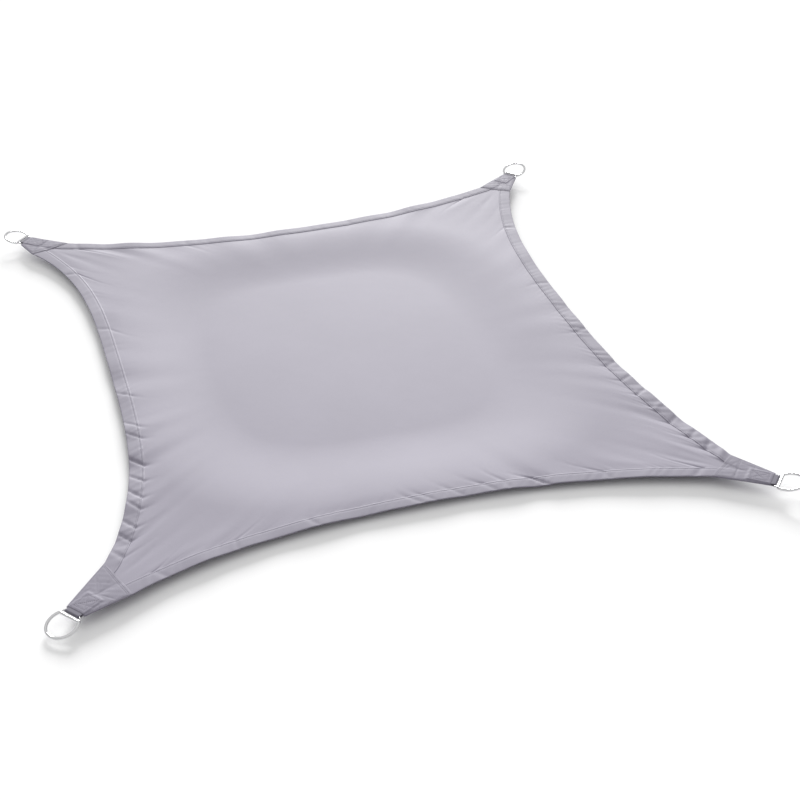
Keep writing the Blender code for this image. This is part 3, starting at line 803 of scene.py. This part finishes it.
def bow_path(steps, fillet_steps):
    """Centre line of the D: its bar, its bow, and the rounding between them."""
    centre = Vector((SLOT_PITCH + RING_OFFSET, 0.0, 0.0))
    fillet_x = SLOT_PITCH + RING_FILLET
    fillet_y = math.sqrt((RING_RADIUS - RING_FILLET) ** 2 - (centre.x - fillet_x) ** 2)
    start = math.atan2(fillet_y, fillet_x - centre.x)
    path = []
    for step in range(steps + 1):
        angle = start - 2 * start * step / steps
        path.append(centre + RING_RADIUS * Vector((math.cos(angle), math.sin(angle), 0.0)))
    for step in range(1, fillet_steps + 1):
        angle = start + (math.pi - start) * step / fillet_steps
        out = Vector((math.cos(angle), -math.sin(angle), 0.0))
        path.append(Vector((fillet_x, -fillet_y, 0.0)) + RING_FILLET * out)
    for step in range(1, 12):
        path.append(Vector((SLOT_PITCH, -fillet_y + 2 * fillet_y * step / 12, 0.0)))
    for step in range(fillet_steps):
        angle = math.pi - (math.pi - start) * step / fillet_steps
        out = Vector((math.cos(angle), math.sin(angle), 0.0))
        path.append(Vector((fillet_x, fillet_y, 0.0)) + RING_FILLET * out)
    return path


def rail_path():
    """Centre line of the rail and of the two short arms that join it to the bar."""
    path = [Vector((SLOT_PITCH, RAIL_HALF, 0.0))]
    for step in range(7):
        angle = math.radians(90 + 15 * step)
        path.append(Vector((RAIL_BEND + RAIL_BEND * math.cos(angle), RAIL_HALF - RAIL_BEND, 0.0)))
        path[-1].y += RAIL_BEND * math.sin(angle)
    return path + [Vector((point.x, -point.y, 0.0)) for point in reversed(path)]


def ring(corner):
    """The D-ring with its rail, turned to its corner and tilted about the rail."""
    inward, _ = corner_axes(corner)
    rail = bar_point(corner) + inward * SLOT_PITCH
    height = underside(bar_point(corner))[0] + HEM_CLOTH / 2
    place = Matrix.Translation((rail[0], rail[1], height))
    place = place @ Matrix.Rotation(math.atan2(-inward[1], -inward[0]), 4, "Z")
    place = place @ Matrix.Rotation(-math.radians(corner.tilt), 4, "Y")
    build = Build()
    tube(build, bow_path(96, 8), RING_WIRE, 24, True, place)
    tube(build, rail_path(), RAIL_WIRE, 16, False, place)
    return build


# ---- Stitches ----

STITCH_PITCH = 0.0046
STITCH_LENGTH = 0.0034
STITCH_WIRE = 0.00042


def stitches(build, places, tops):
    """A row of stitches along plan places whose surface heights are known."""
    line = np.column_stack((places, tops))
    steps = np.linalg.norm(np.diff(line, axis=0), axis=1)
    travelled = np.concatenate(((0.0,), np.cumsum(steps)))
    for middle in np.arange(STITCH_PITCH / 2, travelled[-1], STITCH_PITCH):
        ends = [
            np.array([np.interp(middle + move, travelled, line[:, axis]) for axis in range(3)])
            for move in (-STITCH_LENGTH / 2, STITCH_LENGTH / 2)
        ]
        way = ends[1] - ends[0]
        span = np.linalg.norm(way)
        if span < STITCH_LENGTH / 2:
            continue
        way /= span
        side = np.array((-way[1], way[0], 0.0))
        side /= np.linalg.norm(side)
        up = np.cross(way, side)
        lift = up * STITCH_WIRE * 0.4
        loops = []
        for share in (0.2, 0.8):
            centre = ends[0] + way * span * share + lift
            loop = []
            for k in range(6):
                angle = math.pi * k / 3
                loop.append(centre + STITCH_WIRE * (math.cos(angle) * side + math.sin(angle) * up))
            loops.append(build.add(loop))
        tips_here = build.add([ends[0] - up * STITCH_WIRE * 0.4, ends[1] - up * STITCH_WIRE * 0.4])
        build.strip(loops[0], loops[1], 0, True, closed=True)
        for k in range(6):
            after = (k + 1) % 6
            build.face((loops[0][k], loops[0][after], tips_here[0]), 0, False)
            build.face((loops[1][after], loops[1][k], tips_here[1]), 0, False)


def hem_stitches():
    build = Build()
    for index in range(4):
        first, last = CORNERS[index], CORNERS[(index + 1) % 4]
        start = first.next_along - MEET_ALONG + 0.006
        end = lengths[index] - (last.last_along - MEET_ALONG + 0.006)
        runs = np.arange(start, end, 0.002)
        lines = outlines[index] + (seams[index] - outlines[index]) * (STITCH_INWARD / HEM_WIDTH)
        plan = np.column_stack([np.interp(runs, travels[index], lines[:, axis]) for axis in (0, 1)])
        rise = side_relief(index, runs / lengths[index], np.full_like(runs, STITCH_INWARD))
        stitches(build, plan, underside(plan) + rise + 0.0022)
    return build


def patch_stitches(corner, tree):
    build = Build()
    for start, end in seam_lines(corner):
        span = math.dist(start, end)
        share = np.linspace(0.02, 0.98, max(int(span / 0.002), 4))
        along = start[0] + (end[0] - start[0]) * share
        across = start[1] + (end[1] - start[1]) * share
        plan = corner_point(corner, along, across)
        tops = []
        for spot in plan:
            hit = tree.ray_cast(Vector((spot[0], spot[1], 1.0)), Vector((0, 0, -1)))[0]
            tops.append(hit.z if hit else np.nan)
        tops = np.array(tops)
        good = ~np.isnan(tops)
        if good.sum() > 3:
            stitches(build, plan[good], tops[good])
    return build


# ---- Materials ----

def node(tree, kind, **values):
    made = tree.nodes.new(kind)
    for name, value in values.items():
        if hasattr(made, name):
            setattr(made, name, value)
        else:
            made.inputs[name.replace("_", " ")].default_value = value
    return made


def base(name, colour, roughness):
    made = bpy.data.materials.new(name)
    made.use_nodes = True
    shader = made.node_tree.nodes["Principled BSDF"]
    shader.inputs["Base Color"].default_value = (*colour, 1.0)
    shader.inputs["Roughness"].default_value = roughness
    return made, made.node_tree, shader


def tinted(tree, shader, colour, factor, darker, lighter):
    """Base colour between a darker and a lighter tone of one colour."""
    mix = node(tree, "ShaderNodeMix", data_type="RGBA")
    mix.inputs[6].default_value = (*[c * darker for c in colour], 1.0)
    mix.inputs[7].default_value = (*[c * lighter for c in colour], 1.0)
    tree.links.new(factor, mix.inputs[0])
    tree.links.new(mix.outputs[2], shader.inputs["Base Color"])


def woven(name, colour, pitch, roughness, depth):
    """Plain woven cloth: fine warp and weft, faint blotches and a soft crumple."""
    made, tree, shader = base(name, colour, roughness)
    shader.inputs["Sheen Weight"].default_value = 0.10
    shader.inputs["Sheen Roughness"].default_value = 0.45
    shader.inputs["Specular IOR Level"].default_value = 0.30
    places = node(tree, "ShaderNodeTexCoord")
    blotch = node(tree, "ShaderNodeTexNoise", Scale=3.2, Detail=4.0, Roughness=0.55)
    speck = node(tree, "ShaderNodeTexNoise", Scale=320.0, Detail=3.0, Roughness=0.6)
    crumple = node(tree, "ShaderNodeTexNoise", Scale=26.0, Detail=3.0, Roughness=0.5, Distortion=0.6)
    scale = 2 * math.pi / (20 * pitch)
    warp = node(tree, "ShaderNodeTexWave", wave_type="BANDS", bands_direction="X", Scale=scale)
    weft = node(tree, "ShaderNodeTexWave", wave_type="BANDS", bands_direction="Y", Scale=scale)
    for texture in (blotch, speck, crumple, warp, weft):
        tree.links.new(places.outputs["Object"], texture.inputs["Vector"])
    cloth = node(tree, "ShaderNodeMath", operation="MULTIPLY")
    tree.links.new(warp.outputs[1], cloth.inputs[0])
    tree.links.new(weft.outputs[1], cloth.inputs[1])
    half = node(tree, "ShaderNodeMath", operation="MULTIPLY_ADD")
    half.inputs[1].default_value = 0.22
    tree.links.new(speck.outputs[0], half.inputs[0])
    tree.links.new(blotch.outputs[0], half.inputs[2])
    tinted(tree, shader, colour, half.outputs[0], 0.90, 1.07)
    grain = node(tree, "ShaderNodeBump", Strength=0.22, Distance=depth)
    tree.links.new(cloth.outputs[0], grain.inputs["Height"])
    folds = node(tree, "ShaderNodeBump", Strength=0.16, Distance=0.0012)
    tree.links.new(crumple.outputs[0], folds.inputs["Height"])
    tree.links.new(grain.outputs[0], folds.inputs["Normal"])
    tree.links.new(folds.outputs[0], shader.inputs["Normal"])
    return made


def polished(name):
    """Polished steel with a faint grain and a few dull spots."""
    made, tree, shader = base(name, (0.72, 0.72, 0.73), 0.12)
    shader.inputs["Metallic"].default_value = 1.0
    places = node(tree, "ShaderNodeTexCoord")
    dull = node(tree, "ShaderNodeTexNoise", Scale=60.0, Detail=4.0)
    scratch = node(tree, "ShaderNodeTexNoise", Scale=900.0, Detail=2.0)
    for texture in (dull, scratch):
        tree.links.new(places.outputs["Object"], texture.inputs["Vector"])
    rough = node(tree, "ShaderNodeMapRange")
    rough.inputs["To Min"].default_value = 0.07
    rough.inputs["To Max"].default_value = 0.20
    tree.links.new(dull.outputs[0], rough.inputs["Value"])
    tree.links.new(rough.outputs[0], shader.inputs["Roughness"])
    tinted(tree, shader, (0.72, 0.72, 0.73), dull.outputs[0], 0.92, 1.05)
    grain = node(tree, "ShaderNodeBump", Strength=0.05, Distance=0.0001)
    tree.links.new(scratch.outputs[0], grain.inputs["Height"])
    tree.links.new(grain.outputs[0], shader.inputs["Normal"])
    return made


PANEL_COLOUR = (0.238, 0.222, 0.276)
HEM_COLOUR = (0.214, 0.200, 0.249)
PATCH_COLOUR = (0.206, 0.193, 0.240)
WEB_COLOUR = (0.158, 0.150, 0.184)
THREAD_COLOUR = (0.250, 0.236, 0.290)

panel_surface = woven("panel_weave", PANEL_COLOUR, 0.0012, 0.66, 0.00015)
hem_surface = woven("hem_weave", HEM_COLOUR, 0.0012, 0.68, 0.00015)
patch_surface = woven("patch_weave", PATCH_COLOUR, 0.0012, 0.70, 0.00018)
web_surface = woven("webbing_rib", WEB_COLOUR, 0.0022, 0.78, 0.00040)
thread_surface = woven("thread", THREAD_COLOUR, 0.0005, 0.60, 0.00008)
steel_surface = polished("polished_steel")

# ---- Pieces ----

cloth_build = sail_cloth()
cloth_tree = BVHTree.FromPolygons(cloth_build.array().tolist(), cloth_build.faces)
cloth = cloth_build.make("cloth_and_hem", (panel_surface, hem_surface), 70)
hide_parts("sail_panel")

sewn = []
hem_thread = hem_stitches().make("hem_stitching", (thread_surface,))
sewn.append(hem_thread)
for corner in CORNERS:
    patch_build = patch(corner, cloth_tree)
    piece = patch_build.make("patch_" + corner.name, (patch_surface,), 60)
    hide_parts("corner_patch_" + corner.name)
    patch_tree = BVHTree.FromPolygons(patch_build.array().tolist(), patch_build.faces)
    thread = patch_stitches(corner, patch_tree).make("patch_stitching_" + corner.name, (thread_surface,))
    loop = webbing(corner).make("webbing_" + corner.name, (web_surface,), 50)
    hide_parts("corner_loop_" + corner.name)
    hoop = ring(corner).make("d_ring_" + corner.name, (steel_surface,), 60)
    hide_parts("ring_" + corner.name)
    sewn += [piece, thread, loop, hoop]

# ---- Floor, light and camera ----

floor_data = bpy.data.meshes.new("floor")
FLOOR = 30.0
FLOOR_DROP = 0.0004
floor_corners = [(x * FLOOR, y * FLOOR, 0) for x, y in ((-1, -1), (1, -1), (1, 1), (-1, 1))]
floor_data.from_pydata(floor_corners, [], [(0, 1, 2, 3)])
floor = bpy.data.objects.new("floor", floor_data)
floor.location.z = -FLOOR_DROP
bpy.context.scene.collection.objects.link(floor)
floor_surface, _, floor_shader = base("floor_white", (0.90, 0.90, 0.90), 0.9)
floor_shader.inputs["Specular IOR Level"].default_value = 0.0
floor_data.materials.append(floor_surface)

YAW = math.radians(14.54)
ELEVATION = math.radians(31.79)
ROLL = math.radians(-1.63)
DISTANCE = 4.217
TARGET = Vector((0.0887, -0.3302, 0.0))

forward = Vector((
    math.sin(YAW) * math.cos(ELEVATION),
    math.cos(YAW) * math.cos(ELEVATION),
    -math.sin(ELEVATION),
))
level = Vector((math.cos(YAW), -math.sin(YAW), 0.0))
upright = level.cross(forward)
right = level * math.cos(ROLL) + upright * math.sin(ROLL)
up = upright * math.cos(ROLL) - level * math.sin(ROLL)
camera_data = bpy.data.cameras.new("camera")
camera_data.lens = 65.17
camera_data.sensor_width = 36.0
camera_data.clip_end = 100.0
camera = bpy.data.objects.new("camera", camera_data)
turned = Matrix((right, up, -forward)).transposed().to_4x4()
camera.matrix_world = Matrix.Translation(TARGET - forward * DISTANCE) @ turned
bpy.context.scene.collection.objects.link(camera)
bpy.context.scene.camera = camera

SUN_ELEVATION = math.radians(17)
SUN_YAW = YAW
sun_data = bpy.data.lights.new("key", "SUN")
sun_data.energy = 5.0
sun_data.angle = math.radians(24)
sun = bpy.data.objects.new("key", sun_data)
towards = Vector((
    math.sin(SUN_YAW) * math.cos(SUN_ELEVATION),
    math.cos(SUN_YAW) * math.cos(SUN_ELEVATION),
    math.sin(SUN_ELEVATION),
))
sun.rotation_euler = towards.to_track_quat("Z", "Y").to_euler()
bpy.context.scene.collection.objects.link(sun)

world = bpy.data.worlds.new("studio")
bpy.context.scene.world = world
world.use_nodes = True
tree = world.node_tree
backdrop = tree.nodes["Background"]
backdrop.inputs["Strength"].default_value = 0.80
direction = node(tree, "ShaderNodeTexCoord")
split = node(tree, "ShaderNodeSeparateXYZ")
ramp = node(tree, "ShaderNodeValToRGB")
ramp.color_ramp.elements[0].position = 0.0
ramp.color_ramp.elements[0].color = (0.42, 0.42, 0.43, 1.0)
ramp.color_ramp.elements[1].position = 0.75
ramp.color_ramp.elements[1].color = (1.0, 1.0, 1.0, 1.0)
tree.links.new(direction.outputs["Generated"], split.inputs[0])
tree.links.new(split.outputs["Z"], ramp.inputs[0])
tree.links.new(ramp.outputs[0], backdrop.inputs["Color"])

bpy.context.scene.view_settings.view_transform = "Standard"
